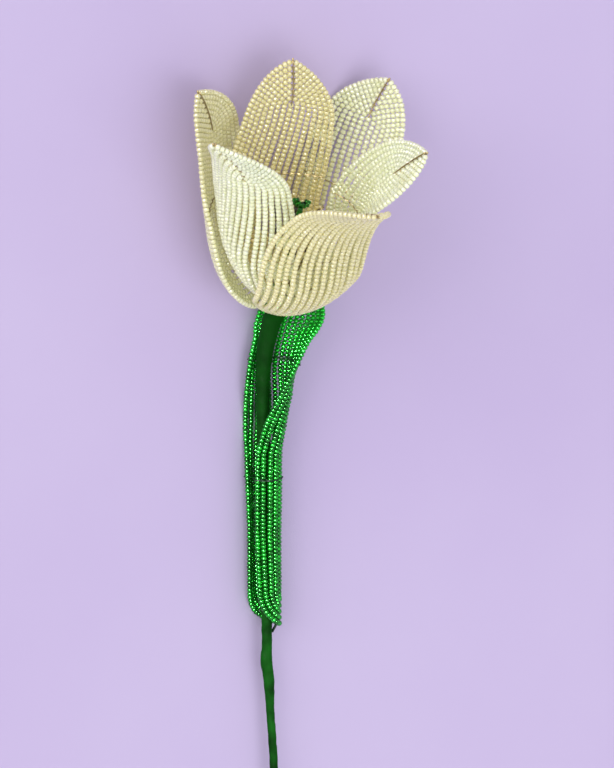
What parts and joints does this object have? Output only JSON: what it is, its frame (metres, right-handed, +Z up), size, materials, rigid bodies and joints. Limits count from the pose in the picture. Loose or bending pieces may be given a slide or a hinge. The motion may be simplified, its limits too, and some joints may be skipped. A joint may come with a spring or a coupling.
{
  "type": "beaded tulip",
  "caption": "Artificial tulip of glass seed beads on wire, with a cream bloom, a green sheath leaf and a taped stem, lying down for display or a bouquet.",
  "frame": {"origin": "centre of the bounding box's bottom face, on the surface that the flower lies on", "axes": "+Z up from the surface, +Y along the stem towards the bloom"},
  "size_m": [0.0814, 0.3038, 0.0804],
  "materials": {
    "stem": "matte",
    "leaf": "gloss",
    "petals": "gloss",
    "pistil": "gloss",
    "stamens": "gloss"
  },
  "bodies": {
    "root": {"stem": "stem", "leaf": "leaf", "petal_1": "petals", "petal_2": "petals", "petal_3": "petals", "petal_4": "petals", "petal_5": "petals", "petal_6": "petals", "pistil": "pistil", "stamen_1": "stamens", "stamen_2": "stamens", "stamen_3": "stamens", "stamen_4": "stamens", "stamen_5": "stamens", "stamen_6": "stamens"}
  },
  "joints": []
}
